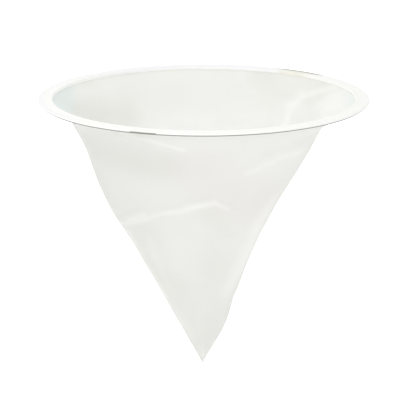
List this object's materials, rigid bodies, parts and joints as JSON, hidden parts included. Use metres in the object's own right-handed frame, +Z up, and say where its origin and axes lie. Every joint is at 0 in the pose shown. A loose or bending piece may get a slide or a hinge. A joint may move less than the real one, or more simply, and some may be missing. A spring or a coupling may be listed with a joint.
{
  "type": "nylon honey filter cone",
  "caption": "Cone of fine white nylon filter cloth hung from a flat, round plastic flange ring that rests on the rim of a honey bucket.",
  "frame": {"origin": "centre of the flange ring, in the plane of its flat underside that rests on the bucket", "axes": "+Z up along the ring's axis, the cone hangs down -Z; the lap seam lies beside +X"},
  "size_m": [0.33, 0.33, 0.2689],
  "materials": {
    "ring_plastic": "satin moulded",
    "nylon_cloth": "fine plain weave, slightly see-through"
  },
  "bodies": {
    "root": {"flange_ring": "ring_plastic", "filter_cloth": "nylon_cloth"}
  },
  "joints": []
}
